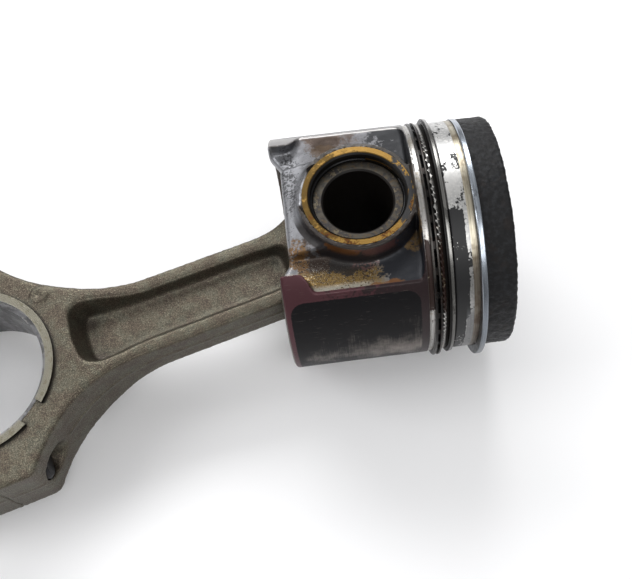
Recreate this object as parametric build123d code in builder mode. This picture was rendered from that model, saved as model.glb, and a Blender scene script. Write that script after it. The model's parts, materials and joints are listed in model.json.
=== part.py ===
from build123d import *
import os
from math import asin, atan2, cos, degrees, radians, sin

# Heavy-duty diesel piston with its rings, floating gudgeon pin and connecting rod.
#
# The pieces are designed in the engine's own frame, in millimetres:
#   X  piston axis, crown at +X        Z  gudgeon pin axis
#   the origin is where the piston axis crosses the pin axis
# and are laid on their side on a bench at the very end (see "Lying on the bench").

os.makedirs("parts", exist_ok=True)

# ---------------------------------------------------------------- driving sizes

# piston
BORE = 128.0                      # engine bore
SKIRT_R = BORE / 2 - 0.1          # skirt radius
LAND_R = SKIRT_R - 0.5            # ring land radius
CROWN_X = 74.6                    # compression height
SKIRT_END_X = -44.0               # open end of the thrust faces
BOSS_END_X = -38.5                # open end between the thrust faces
SKIRT_WALL = 5.9
CROWN_EDGE = 1.4                  # chamfer of the crown edge
SKIRT_EDGE = 1.2                  # chamfer of the open end
CROWN_LAND_R = LAND_R - 0.2       # the top land is a little smaller

# ring grooves, each from its skirt side to its crown side
OIL_GROOVE = (31.9, 35.9)
SECOND_GROOVE = (39.7, 42.3)
TOP_GROOVE = (55.6, 58.6)
GROOVE_R = 57.6                   # groove floor radius
CARRIER = (52.3, 61.9)            # iron carrier cast in around the top groove
CARRIER_R = 55.0                  # its inner radius
CARRIER_FLARE = 0.8               # it widens outwards by this on each side
LAND_STEP = 0.6                   # relief of the land beside the second groove

# rings
RING_SIDE_PLAY = 0.06             # each side of a ring in its groove
RING_DEPTH = 4.9                  # radial thickness
TOP_RING_R = 66.2                 # rings stand sprung out of the bore
SECOND_RING_R = 65.6
OIL_RING_R = 65.2
RING_CHAMFER = 0.4                # of each ring's face
TOP_RING_GAP_AT = 215             # where each joint gap is, in degrees round the ring
SECOND_RING_GAP_AT = 90
OIL_RING_GAP_AT = 150
TOP_RING_DROP = 2.5               # how far each ring hangs off centre, along -Y
SECOND_RING_DROP = -0.4
OIL_RING_DROP = 1.1
RING_GAP = 4.4                    # joint gap
RAIL = 1.15                       # oil ring rail thickness
WEB_DEPTH = 2.3                   # oil ring rail height outside its web
OIL_SLOTS = 30
COIL_R = 1.45                     # expander coil, outside
COIL_BORE_R = 0.95
LATCH_WIRE_R = 0.6                # wire that holds the ends of the coil together

# side panels and pin bosses
PANEL_Z = 44.0                    # height of the recessed panel above the piston axis
PANEL_TOP_X = 28.5
EAR_Y = 37.6                      # half width of the panel at the open end
INNER_Z = 37.0                    # inside face behind the panel
BOSS_FACE_Z = 56.6
BOSS_R = 30.4
BOSS_GAP = 22.5                   # half the gap between the bosses
INNER_STEP_X = 18.0               # where the hollow inside narrows
UNDERCROWN_X = 45.0
BOWL_R = 36.0                     # combustion bowl lip
SCALLOP_R = 18.0                  # recess for prising out a circlip
SCALLOP_DEPTH = 3.0
GALLERY = (59.0, 47.5)            # oil gallery centre, as x and radius
DRAIN_HOLES = 10
DRAIN_R = 1.6
DRAIN_START_R = 44.0              # inside the hollow, so that every hole runs through

# gudgeon pin, its bushes and its circlips
PIN_R = 24.2
PIN_BORE_R = 18.2
PIN_HALF = 50.2
PIN_CHAMFER = 0.8
PIN_PLAY = 0.04                   # radial running play
BUSH_R = 28.4                     # outside of the boss bushes
CLIP_WIRE_R = 1.2
CLIP_GROOVE_R = PIN_R + 1.1
CLIP_ARC = 308                    # how far round each circlip runs
CLIP_END_AT = 22                  # where it starts, in degrees from the piston axis

# connecting rod
ROD_LENGTH = 215.0                # between centres
ROD_SWING = 15.0                  # angle off the piston axis
ROD_END_HALF = 21.5               # half width of the small end
EYE_R = 35.5
SMALL_BUSH_R = 27.2
SHANK_HALF = 21.2                 # half width of the I-beam
SHANK_H = 12.0                    # half thickness of the I-beam
WEB_H = 4.0                       # half thickness of its web
BIG_H = 20.5                      # half thickness of the big end
THRUST_H = 22.5                   # its thrust faces stand proud
THRUST_R = 44.6
HOUSING_R = 40.6
SHELL_WALL = 2.4
CRANKPIN_R = HOUSING_R - SHELL_WALL
SHELL_HALF = 19.0
SHOULDER = 64.0                   # half width across the bolt bosses
BOLT_T = 53.4                     # bolt axis from the rod axis
BOLT_R = 8.0
BOLT_TIP = -23.0                  # bolt tip, from the big-end centre
SEAT = 28.0                       # bolt seat on the cap, from the big-end centre
CAP_R = 56.0
BOLT_HEAD_R = 12.0
BOLT_HEAD_H = 15.0

OVERLAP = 0.1                     # how far joined or cut shapes run into each other

pieces = []


def keep(piece, name):
    """Label a finished piece and add it to the assembly."""
    piece.label = name
    pieces.append(piece)


# ---------------------------------------------------------------- planes

AXIAL = Plane.XY                                     # profiles revolved about the X axis
ROD = Plane(origin=(0, 0, 0), x_dir=(-cos(radians(ROD_SWING)), -sin(radians(ROD_SWING)), 0),
            z_dir=(0, 0, 1))                         # along the rod, across it, along the pin
BIG_END = Plane(origin=ROD.from_local_coords((ROD_LENGTH, 0, 0)), x_dir=ROD.x_dir, z_dir=ROD.z_dir)


def across(x):
    """A plane square to the piston axis at x."""
    return Plane(origin=(x, 0, 0), x_dir=(0, 1, 0), z_dir=(1, 0, 0))


def ring_plane(drop, gap_angle):
    """The plane of a ring's section, at the end of its gap, hanging off centre by drop."""
    turn = radians(gap_angle)
    return Plane(origin=(0, -drop, 0), x_dir=(1, 0, 0), z_dir=(0, -cos(turn), sin(turn)))


# ---------------------------------------------------------------- piston body

with BuildPart() as piston_body:
    # turned outside, with the carrier's seat and the two lower grooves
    with BuildSketch(AXIAL) as turned:
        with BuildLine():
            Polyline(
                (SKIRT_END_X, 0), (SKIRT_END_X, SKIRT_R - SKIRT_EDGE),
                (SKIRT_END_X + SKIRT_EDGE, SKIRT_R),
                (OIL_GROOVE[0] - 2.6, SKIRT_R), (OIL_GROOVE[0] - 2.3, LAND_R),
                (OIL_GROOVE[0], LAND_R), (OIL_GROOVE[0], GROOVE_R), (OIL_GROOVE[1], GROOVE_R),
                (OIL_GROOVE[1], LAND_R), (OIL_GROOVE[1] + 2, LAND_R),
                (OIL_GROOVE[1] + 2.3, LAND_R - LAND_STEP), (SECOND_GROOVE[0], LAND_R - LAND_STEP),
                (SECOND_GROOVE[0], GROOVE_R), (SECOND_GROOVE[1], GROOVE_R),
                (SECOND_GROOVE[1], LAND_R - LAND_STEP), (SECOND_GROOVE[1] + 1.2, LAND_R),
                (CARRIER[0], LAND_R), (CARRIER[0] + CARRIER_FLARE, CARRIER_R),
                (CARRIER[1] - CARRIER_FLARE, CARRIER_R), (CARRIER[1], CROWN_LAND_R),
                (CROWN_X - CROWN_EDGE, CROWN_LAND_R), (CROWN_X, CROWN_LAND_R - CROWN_EDGE),
                (CROWN_X, 0), close=True)
        make_face()
    revolve(axis=Axis.X)

    # hollow inside of the skirt, narrowing above the pin
    with BuildSketch(across(SKIRT_END_X)):
        Circle(SKIRT_R - SKIRT_WALL)
        Rectangle(2 * SKIRT_R, 2 * INNER_Z, mode=Mode.INTERSECT)
    extrude(amount=INNER_STEP_X - SKIRT_END_X, mode=Mode.SUBTRACT)
    with BuildSketch(across(INNER_STEP_X - OVERLAP)):
        Circle(49)
        Rectangle(2 * SKIRT_R, 2 * INNER_Z - 6, mode=Mode.INTERSECT)
    extrude(amount=UNDERCROWN_X - INNER_STEP_X + OVERLAP, taper=8, mode=Mode.SUBTRACT)

    # recessed side panels: narrow between the skirt's ears, wide behind the ring belt
    for side in (1, -1):
        with BuildSketch(Plane.XY.offset(side * PANEL_Z)):
            with BuildLine() as panel_edge:
                open_end = Line((SKIRT_END_X - 2, EAR_Y), (-35, EAR_Y))
                step = Bezier(open_end @ 1, (-28, EAR_Y), (-30, 49), (-21, 49))
                far_edge = Line(step @ 1, (19.5, 49))
                corner = Bezier(far_edge @ 1, (25.5, 49), (PANEL_TOP_X, 44), (PANEL_TOP_X, 37))
                Line(corner @ 1, (PANEL_TOP_X, 0))
                mirror(about=Plane.XZ)
                Line((SKIRT_END_X - 2, EAR_Y), (SKIRT_END_X - 2, -EAR_Y))
            make_face()
        extrude(amount=side * 30, mode=Mode.SUBTRACT)

    # the open end steps back between the ears
    with BuildSketch(Plane.XY):
        with BuildLine():
            Polyline((SKIRT_END_X - 2, EAR_Y), (SKIRT_END_X, EAR_Y - 0.5),
                     (BOSS_END_X, EAR_Y - 9), (BOSS_END_X, 0))
            mirror(about=Plane.XZ)
            Line((SKIRT_END_X - 2, EAR_Y), (SKIRT_END_X - 2, -EAR_Y))
        make_face()
    extrude(amount=SKIRT_R, both=True, mode=Mode.SUBTRACT)

    # pin bosses, each with a lug towards the open end and a pillar up to the crown
    for side in (1, -1):
        with BuildSketch(Plane.XY.offset(side * BOSS_GAP)):
            Circle(BOSS_R + 3)
            with Locations((22, 0)):
                Rectangle(46, 44)
        extrude(amount=side * (PANEL_Z - BOSS_GAP))
        with BuildSketch(Plane.XY.offset(side * (PANEL_Z - 0.5))):
            Circle(BOSS_R + 2)
        extrude(amount=side * (BOSS_FACE_Z - PANEL_Z + 0.5), taper=7)
        with BuildSketch(Plane.XZ.offset(-26)):
            with BuildLine():
                Polyline((BOSS_END_X, side * (INNER_Z - 4)), (BOSS_END_X, side * 47.5),
                         (-20, side * 53.5), (-10, side * 53.5), (-10, side * (INNER_Z - 4)),
                         close=True)
            make_face()
        extrude(amount=52)

    # the bosses stay inside the turned outside
    with BuildSketch(across(SKIRT_END_X - 1)):
        Circle(SKIRT_R)
    extrude(amount=CROWN_X - SKIRT_END_X + 2, mode=Mode.INTERSECT)

    # pin bore through both bosses, and the scallop for prising out each circlip
    with BuildSketch(Plane.XY):
        Circle(BUSH_R)
    extrude(amount=SKIRT_R, both=True, mode=Mode.SUBTRACT)
    for side in (1, -1):
        with BuildSketch(Plane.XY.offset(side * (BOSS_FACE_Z - SCALLOP_DEPTH))):
            with Locations((-13.2, 4)):
                Circle(SCALLOP_R)
        extrude(amount=side * SCALLOP_DEPTH * 2, mode=Mode.SUBTRACT)

    # combustion bowl in the crown, with a low cone in its middle
    with BuildSketch(AXIAL):
        with BuildLine():
            lip = Line((CROWN_X + 1, 0), (CROWN_X + 1, BOWL_R))
            wall = Line(lip @ 1, (CROWN_X - 8, BOWL_R + 0.5))
            trough = ThreePointArc(wall @ 1, (CROWN_X - 15, 30.5), (CROWN_X - 14.5, 24))
            cone = Line(trough @ 1, (CROWN_X - 8.5, 3))
            Line(cone @ 1, (CROWN_X - 8, 0))
            Line((CROWN_X - 8, 0), (CROWN_X + 1, 0))
        make_face()
    revolve(axis=Axis.X, mode=Mode.SUBTRACT)

    # ring-shaped oil gallery around the bowl, with its inlet and outlet
    with BuildSketch(AXIAL):
        with Locations(GALLERY):
            Ellipse(6.5, 3.6)
    revolve(axis=Axis.X, mode=Mode.SUBTRACT)
    for side in (1, -1):
        with BuildSketch(across(UNDERCROWN_X - 12)):
            with Locations((side * GALLERY[1] * sin(radians(64)), side * GALLERY[1] * cos(radians(64)))):
                Circle(3.4)
        extrude(amount=24, mode=Mode.SUBTRACT)

    # drain holes behind the oil ring
    for number in range(DRAIN_HOLES):
        turn = radians(14 + 360 / DRAIN_HOLES * number)
        outward = (0, cos(turn), sin(turn))
        start = Plane(origin=((OIL_GROOVE[0] + OIL_GROOVE[1]) / 2, 0, 0), x_dir=(1, 0, 0),
                      z_dir=outward)
        with BuildSketch(start.offset(DRAIN_START_R)):
            Circle(DRAIN_R)
        extrude(amount=GROOVE_R - DRAIN_START_R + 1, mode=Mode.SUBTRACT)

keep(piston_body.part, "piston_body")

# ---------------------------------------------------------------- ring carrier

with BuildPart() as ring_carrier:
    with BuildSketch(AXIAL):
        with BuildLine():
            Polyline((CARRIER[0], LAND_R), (CARRIER[0] + CARRIER_FLARE, CARRIER_R),
                     (CARRIER[1] - CARRIER_FLARE, CARRIER_R), (CARRIER[1], CROWN_LAND_R),
                     (TOP_GROOVE[1], CROWN_LAND_R), (TOP_GROOVE[1], GROOVE_R),
                     (TOP_GROOVE[0], GROOVE_R), (TOP_GROOVE[0], LAND_R), close=True)
        make_face()
    revolve(axis=Axis.X)
keep(ring_carrier.part, "ring_carrier")

# ---------------------------------------------------------------- piston rings


def gap_arc(radius):
    """How far round a ring runs, leaving its gap open."""
    return 360 - 2 * degrees(asin(RING_GAP / 2 / radius))


def turned_ring(section, drop, radius, gap_angle):
    """A split ring: its section (a list of x, radius points) swept round, less its gap."""
    half_gap = degrees(asin(RING_GAP / 2 / radius))
    with BuildPart() as ring:
        with BuildSketch(ring_plane(drop, gap_angle + half_gap)):
            with BuildLine():
                Polyline(*section, close=True)
            make_face()
        revolve(axis=Axis((0, -drop, 0), (1, 0, 0)), revolution_arc=gap_arc(radius))
    return ring


def ring_section(groove, radius):
    """A plain ring section in its groove: a barrel face, and play on both sides."""
    low = groove[0] + RING_SIDE_PLAY
    high = groove[1] - RING_SIDE_PLAY
    return [(low, radius - RING_DEPTH), (low, radius - 0.25), (low + RING_CHAMFER, radius),
            (high - RING_CHAMFER, radius), (high, radius - 0.25), (high, radius - RING_DEPTH)]


top_ring = turned_ring(ring_section(TOP_GROOVE, TOP_RING_R), TOP_RING_DROP, TOP_RING_R,
                       TOP_RING_GAP_AT)
keep(top_ring.part, "top_compression_ring")

second_low = SECOND_GROOVE[0] + RING_SIDE_PLAY
second_high = SECOND_GROOVE[1] - RING_SIDE_PLAY
hook_r = SECOND_RING_R - 1.1      # the second ring's face is undercut on its lower edge
hook_x = second_low + 0.7
second_section = [
    (second_low, SECOND_RING_R - RING_DEPTH), (second_low, hook_r), (hook_x, hook_r),
    (hook_x, SECOND_RING_R), (second_high, SECOND_RING_R - 0.2),
    (second_high, SECOND_RING_R - RING_DEPTH)]
second_ring = turned_ring(second_section, SECOND_RING_DROP, SECOND_RING_R, SECOND_RING_GAP_AT)
keep(second_ring.part, "second_compression_ring")

oil_low = OIL_GROOVE[0] + RING_SIDE_PLAY
oil_high = OIL_GROOVE[1] - RING_SIDE_PLAY
oil_mid = (oil_low + oil_high) / 2
web_r = OIL_RING_R - WEB_DEPTH
back_r = web_r - 1.1              # back of the ring, grooved for the coil
web_back_r = web_r - 0.8
oil_section = [
    (oil_low, back_r), (oil_low, OIL_RING_R - RING_CHAMFER),
    (oil_low + RING_CHAMFER, OIL_RING_R), (oil_low + RAIL, OIL_RING_R),
    (oil_low + RAIL, web_r), (oil_high - RAIL, web_r), (oil_high - RAIL, OIL_RING_R),
    (oil_high - RING_CHAMFER, OIL_RING_R), (oil_high, OIL_RING_R - RING_CHAMFER),
    (oil_high, back_r), (oil_mid + 1.0, back_r), (oil_mid + 0.7, web_back_r),
    (oil_mid - 0.7, web_back_r), (oil_mid - 1.0, back_r)]
with BuildPart() as oil_ring:
    add(turned_ring(oil_section, OIL_RING_DROP, OIL_RING_R, OIL_RING_GAP_AT).part)
    for number in range(OIL_SLOTS):
        turn = radians(OIL_RING_GAP_AT + (number + 0.5) * 360 / OIL_SLOTS)
        outward = Plane(origin=(oil_mid, -OIL_RING_DROP, 0), x_dir=(1, 0, 0),
                        z_dir=(0, -sin(turn), cos(turn)))
        with BuildSketch(outward.offset(web_r - 2)):
            SlotOverall(9.5, 1.5, rotation=90)
        extrude(amount=4, mode=Mode.SUBTRACT)
keep(oil_ring.part, "oil_control_ring")

coil_r = web_back_r - 0.02 - COIL_R    # the coil bears on the back of the ring's web
coil_centre = (oil_mid, coil_r)
with BuildPart() as oil_ring_expander:
    with BuildSketch(ring_plane(OIL_RING_DROP, 330)):
        with Locations(coil_centre):
            Circle(COIL_R)
            Circle(COIL_BORE_R, mode=Mode.SUBTRACT)
    revolve(axis=Axis((0, -OIL_RING_DROP, 0), (1, 0, 0)), revolution_arc=359.2)
keep(oil_ring_expander.part, "oil_ring_expander")

with BuildPart() as expander_latch_wire:
    with BuildSketch(ring_plane(OIL_RING_DROP, 300)):
        with Locations(coil_centre):
            Circle(LATCH_WIRE_R)
    revolve(axis=Axis((0, -OIL_RING_DROP, 0), (1, 0, 0)), revolution_arc=60)
keep(expander_latch_wire.part, "expander_latch_wire")

# ---------------------------------------------------------------- gudgeon pin and its fittings

with BuildPart() as gudgeon_pin:
    with BuildSketch(Plane.XZ):
        with BuildLine():
            Polyline((PIN_BORE_R, 0), (PIN_R, 0), (PIN_R, PIN_HALF - PIN_CHAMFER),
                     (PIN_R - PIN_CHAMFER, PIN_HALF), (PIN_BORE_R + PIN_CHAMFER, PIN_HALF),
                     (PIN_BORE_R, PIN_HALF - PIN_CHAMFER), close=True)
        make_face()
    revolve(axis=Axis.Z)
    mirror(about=Plane.XY)
keep(gudgeon_pin.part, "gudgeon_pin")

clip_z = PIN_HALF + 0.1 + CLIP_WIRE_R
for side, place in ((1, "front"), (-1, "rear")):
    with BuildPart() as bush:
        with BuildSketch(Plane.XZ):
            with BuildLine():
                bore_r = PIN_R + PIN_PLAY
                groove_low = clip_z - CLIP_WIRE_R - 0.05
                groove_high = clip_z + CLIP_WIRE_R + 0.05
                Polyline((bore_r, side * (BOSS_GAP + 0.5)), (BUSH_R, side * (BOSS_GAP + 0.5)),
                         (BUSH_R, side * BOSS_FACE_Z), (bore_r + 1.4, side * BOSS_FACE_Z),
                         (bore_r + 0.2, side * (BOSS_FACE_Z - 1.2)), (bore_r, side * groove_high),
                         (CLIP_GROOVE_R + 0.1, side * groove_high),
                         (CLIP_GROOVE_R + 0.1, side * groove_low),
                         (bore_r, side * groove_low), close=True)
            make_face()
        revolve(axis=Axis.Z)
    keep(bush.part, f"pin_boss_bush_{place}")

    with BuildPart() as circlip:
        clip_turn = radians(CLIP_END_AT)
        clip_start = Plane(origin=(0, 0, side * clip_z), x_dir=(cos(clip_turn), sin(clip_turn), 0),
                           z_dir=(sin(clip_turn), -cos(clip_turn), 0))
        with BuildSketch(clip_start):
            with Locations((CLIP_GROOVE_R - CLIP_WIRE_R, 0)):
                Circle(CLIP_WIRE_R)
        revolve(axis=Axis.Z, revolution_arc=-CLIP_ARC)
    keep(circlip.part, f"circlip_{place}")

# ---------------------------------------------------------------- connecting rod

ROD_SIDE = Plane(origin=(0, 0, 0), x_dir=ROD.x_dir, z_dir=-ROD.y_dir)      # the rod seen edge on
PARTING = Plane(origin=BIG_END.origin, x_dir=ROD.y_dir, z_dir=ROD.x_dir)   # rod to cap joint
NECK_S = -ROD_LENGTH + 60         # where the neck of the small end meets the straight shank
FLANK_S = -92                     # where the shank starts to widen to the bolt bosses


with BuildPart() as pocket:
    # hollow of the I-beam, with sloping walls; cut from both faces of the rod
    with BuildSketch(BIG_END.offset(WEB_H)) as pocket_floor:
        with BuildLine():
            edge = Line((-ROD_LENGTH + 44, 11), (FLANK_S + 4, 11.2))
            widening = Bezier(edge @ 1, (-74, 11.6), (-66, 14.5), (-60.5, 15.8))
            Line(widening @ 1, (-59, 0))
            Line((-ROD_LENGTH + 44, 11), (-ROD_LENGTH + 44, 0))
            mirror(about=Plane.XZ)
        make_face()
        ends = pocket_floor.vertices().sort_by(Axis.X)
        fillet(ends[0:2] + ends.filter_by(lambda v: v.X > -61 and abs(v.Y) > 1), 5)
    extrude(amount=18, taper=-18)

with BuildPart() as connecting_rod:
    with BuildSketch(BIG_END):
        with BuildLine():
            neck = Bezier((-ROD_LENGTH + 20, 29), (-ROD_LENGTH + 32, 24.5),
                          (-ROD_LENGTH + 40, SHANK_HALF), (NECK_S, SHANK_HALF))
            shank = Line(neck @ 1, (FLANK_S, SHANK_HALF))
            flank = Bezier(shank @ 1, (-60, SHANK_HALF + 0.5), (-36, SHOULDER - 26),
                           (-22, SHOULDER - 3.5))
            shoulder = Bezier(flank @ 1, (-20.2, SHOULDER - 0.4), (-18, SHOULDER), (-15, SHOULDER))
            Polyline(shoulder @ 1, (0, SHOULDER), (0, 0))
            Polyline(neck @ 0, (-ROD_LENGTH, 29), (-ROD_LENGTH, 0))
            mirror(about=Plane.XZ)
        make_face()
        with Locations((-ROD_LENGTH, 0)):
            Circle(EYE_R)
    extrude(amount=THRUST_H, both=True)

    # seen edge on: wide eye, slender shank, wide big end
    with BuildSketch(ROD_SIDE):
        with BuildLine():
            eye = Line((-EYE_R - 2, ROD_END_HALF), (24, ROD_END_HALF))
            ramp = Bezier(eye @ 1, (34, ROD_END_HALF), (38, SHANK_H), (52, SHANK_H))
            beam = Line(ramp @ 1, (116, SHANK_H))
            swell = Bezier(beam @ 1, (138, SHANK_H), (150, BIG_H), (172, BIG_H))
            Polyline(swell @ 1, (ROD_LENGTH + 1, BIG_H), (ROD_LENGTH + 1, 0))
            Line((-EYE_R - 2, ROD_END_HALF), (-EYE_R - 2, 0))
            mirror(about=Plane.XZ)
        make_face()
    extrude(amount=SHOULDER + 10, both=True, mode=Mode.INTERSECT)

    # machined thrust faces, interrupted beside the bolt boss, and a raised forging pad
    with BuildSketch(BIG_END):
        Circle(THRUST_R)
        with Locations((THRUST_R, 0)):
            Rectangle(2 * THRUST_R, 3 * THRUST_R, mode=Mode.SUBTRACT)
        with Locations((40 * cos(radians(129)), 40 * sin(radians(129)))):
            Rectangle(20, 12.5, rotation=129, mode=Mode.SUBTRACT)
    extrude(amount=THRUST_H, both=True)
    with BuildSketch(BIG_END):
        with Locations((-44.5, -28.5)):
            Circle(4.6)
    extrude(amount=BIG_H + 0.6)

    # pockets of the I-beam
    add(pocket.part, mode=Mode.SUBTRACT)
    add(mirror(pocket.part, about=Plane.XY, mode=Mode.PRIVATE), mode=Mode.SUBTRACT)

    # big-end housing, small-end bore and the bolt holes that run out through the flanks
    with BuildSketch(BIG_END):
        Circle(HOUSING_R)
        with Locations((-ROD_LENGTH, 0)):
            Circle(SMALL_BUSH_R)
    extrude(amount=THRUST_H + 1, both=True, mode=Mode.SUBTRACT)
    with BuildSketch(PARTING):
        with Locations((BOLT_T, 0), (-BOLT_T, 0)):
            Circle(BOLT_R + 0.1)
    extrude(amount=-70, mode=Mode.SUBTRACT)
keep(connecting_rod.part, "connecting_rod")

with BuildPart() as small_end_bush:
    with BuildSketch(Plane.XY):
        Circle(SMALL_BUSH_R)
        Circle(PIN_R + PIN_PLAY, mode=Mode.SUBTRACT)
    extrude(amount=ROD_END_HALF - 0.5, both=True)
keep(small_end_bush.part, "small_end_bush")

# ---------------------------------------------------------------- cap, shells and bolts

with BuildPart() as rod_cap:
    with BuildSketch(BIG_END):
        Circle(CAP_R)
        with Locations((SEAT / 2, 0)):
            Rectangle(SEAT, 2 * SHOULDER)
        with Locations((-SHOULDER, 0)):
            Rectangle(2 * SHOULDER, 3 * SHOULDER, mode=Mode.SUBTRACT)
    extrude(amount=BIG_H, both=True)
    with BuildSketch(BIG_END):
        Circle(THRUST_R)
        with Locations((-THRUST_R, 0)):
            Rectangle(2 * THRUST_R, 3 * THRUST_R, mode=Mode.SUBTRACT)
    extrude(amount=THRUST_H, both=True)
    with BuildSketch(BIG_END):
        Circle(HOUSING_R)
    extrude(amount=THRUST_H + 1, both=True, mode=Mode.SUBTRACT)
    with BuildSketch(PARTING):
        with Locations((BOLT_T, 0), (-BOLT_T, 0)):
            Circle(BOLT_R + 0.3)
    extrude(amount=SEAT + 1, mode=Mode.SUBTRACT)
    with BuildSketch(PARTING.offset(SEAT)):
        with Locations((BOLT_T, 0), (-BOLT_T, 0)):
            Circle(BOLT_HEAD_R + 0.8)
    extrude(amount=CAP_R, mode=Mode.SUBTRACT)
keep(rod_cap.part, "rod_cap")

for half, name in ((-1, "bearing_shell_upper"), (1, "bearing_shell_lower")):
    with BuildPart() as shell:
        with BuildSketch(BIG_END):
            Circle(HOUSING_R)
            Circle(CRANKPIN_R, mode=Mode.SUBTRACT)
            with Locations((-half * HOUSING_R, 0)):
                Rectangle(2 * HOUSING_R, 3 * HOUSING_R, mode=Mode.SUBTRACT)
        extrude(amount=SHELL_HALF, both=True)
    keep(shell.part, name)

with BuildPart() as cap_bolts:
    with BuildSketch(PARTING.offset(BOLT_TIP)):
        with Locations((BOLT_T, 0), (-BOLT_T, 0)):
            Circle(BOLT_R - 0.05)
    extrude(amount=SEAT - BOLT_TIP)
    chamfer(cap_bolts.faces().sort_by(Axis(BIG_END.origin, ROD.x_dir))[0:2].edges(), 1.5)
    with BuildSketch(PARTING.offset(SEAT)):
        with Locations((BOLT_T, 0), (-BOLT_T, 0)):
            Circle(BOLT_HEAD_R)
    extrude(amount=3)
    with BuildSketch(PARTING.offset(SEAT + 3)):
        with Locations((BOLT_T, 0), (-BOLT_T, 0)):
            RegularPolygon(10, 12)
    extrude(amount=BOLT_HEAD_H - 3)
keep(cap_bolts.part, "cap_bolts")

# ---------------------------------------------------------------- lying on the bench

# The assembly lies on the rim of its lower pin boss and on the far edge of the cap's thrust
# face, so it is tipped about the line square to the rod. Z = 0 is the bench, and the origin
# is under the middle of the whole assembly.
TIP = degrees(atan2(BOSS_FACE_Z - THRUST_H, ROD_LENGTH + THRUST_R - BOSS_R))
tip_line = Axis((0, 0, 0), ROD.y_dir)
tipped = Plane(origin=(0, 0, 0), x_dir=Vector(1, 0, 0).rotate(tip_line, TIP),
               z_dir=Vector(0, 0, 1).rotate(tip_line, TIP))
box = Compound([piece.moved(tipped.location) for piece in pieces]).bounding_box()
bench = Plane(origin=(-box.center().X, -box.center().Y, -box.min.Z), x_dir=tipped.x_dir,
              z_dir=tipped.z_dir)

for piece in pieces:
    lying = piece.moved(bench.location)
    lying.label = piece.label
    export_step(lying, f"parts/{piece.label}.step")
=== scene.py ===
import json
from math import cos, degrees, pi, radians, sin

import bmesh
import bpy
import numpy as np
from mathutils import Matrix, Vector, noise


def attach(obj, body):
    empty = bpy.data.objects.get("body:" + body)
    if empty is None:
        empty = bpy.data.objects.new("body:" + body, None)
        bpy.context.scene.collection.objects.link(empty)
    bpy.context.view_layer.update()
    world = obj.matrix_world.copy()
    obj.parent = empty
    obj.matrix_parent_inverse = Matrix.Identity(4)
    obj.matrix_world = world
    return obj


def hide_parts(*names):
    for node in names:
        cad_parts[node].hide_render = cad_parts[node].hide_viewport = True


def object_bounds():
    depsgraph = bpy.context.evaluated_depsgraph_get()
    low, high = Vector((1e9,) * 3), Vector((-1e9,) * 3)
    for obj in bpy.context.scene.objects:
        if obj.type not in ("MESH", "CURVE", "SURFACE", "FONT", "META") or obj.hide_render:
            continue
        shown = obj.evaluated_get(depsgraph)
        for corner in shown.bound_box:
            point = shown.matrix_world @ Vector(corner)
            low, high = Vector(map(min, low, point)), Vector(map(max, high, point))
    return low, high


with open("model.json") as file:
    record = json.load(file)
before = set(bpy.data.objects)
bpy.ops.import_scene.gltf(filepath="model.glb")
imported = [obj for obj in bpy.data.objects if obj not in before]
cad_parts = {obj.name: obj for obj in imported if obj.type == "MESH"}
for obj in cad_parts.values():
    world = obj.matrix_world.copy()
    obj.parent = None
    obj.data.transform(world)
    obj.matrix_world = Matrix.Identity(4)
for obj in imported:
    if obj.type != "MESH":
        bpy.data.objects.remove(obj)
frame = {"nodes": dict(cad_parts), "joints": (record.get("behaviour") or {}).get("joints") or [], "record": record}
cad_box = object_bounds()
nodes = frame["nodes"]
joints = {joint["name"]: joint for joint in frame["joints"]}
mounts = {mount["name"]: mount for mount in frame["record"]["mounts"]}

# ---------------------------------------------------------------- the parts' own axes


def part_axes(origin, x_way, z_way):
    """The matrix from millimetres in a part's own axes to metres in the frame."""
    x, z = Vector(x_way).normalized(), Vector(z_way).normalized()
    turn = Matrix((x, z.cross(x), z)).transposed().to_4x4()
    return Matrix.Translation(origin) @ turn @ Matrix.Scale(0.001, 4)


PIN_CENTRE = Vector(joints["rod_swing"]["pos_m"])
PIN_WAY = Vector(joints["rod_swing"]["axis"])
CROWN_WAY = Vector(joints["top_ring_turn"]["axis"])
CRANKPIN = Vector(mounts["crankpin_bore"]["pos_m"])

# piston: X towards the crown, Z along the gudgeon pin, from the pin's centre
PISTON = part_axes(PIN_CENTRE, CROWN_WAY, PIN_WAY)
# rod: X away from the piston, Z along the pins, from the crankpin's centre
ROD = part_axes(CRANKPIN, CRANKPIN - PIN_CENTRE, PIN_WAY)

# sizes of the CAD model, in millimetres in those axes
SKIRT_R = 63.9
LAND_R = 63.4
OIL_GROOVE_X = 31.9
CROWN_X = 74.6
SKIRT_TOP_X = 29.2
SECOND_LAND = (42.2, 52.4)
TOP_LAND_X = 58.5
INNER_Z = 36.8
BOSS_FACE_Z = 56.6
BUSH_R = 28.4
ROD_LENGTH = (CRANKPIN - PIN_CENTRE).length * 1000
BIG_H = 20.5
THRUST_R = 44.6
HOUSING_R = 40.6
SMALL_BUSH_R = 27.2
BOLT_T = 53.4
PAD_AT = (-44.5, -28.5)
COIL_CENTRE_R = 60.63
COIL_R = 1.45
WIRE_R = 0.26
COIL_TURNS = 500

# how finely the forged and cast pieces are rebuilt, and how near its true size a machined face is found
FORGING_GRAIN = 0.8
CASTING_GRAIN = 0.65
NEAR = 0.45

# ---------------------------------------------------------------- mesh tools


def numbers(axes):
    """A matrix as its turning part and its shift, for rows of points."""
    whole = np.array(axes, float)
    return whole[:3, :3], whole[:3, 3]


def add_mesh(name, points, faces, axes=None):
    """A new smooth object from points, in millimetres if their axes are given."""
    points = np.asarray(points, float)
    if axes is not None:
        turn, shift = numbers(axes)
        points = points @ turn.T + shift
    mesh = bpy.data.meshes.new(name)
    mesh.from_pydata(points.tolist(), [], faces)
    mesh.validate()
    mesh.shade_smooth()
    return add_object(name, mesh)


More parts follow.
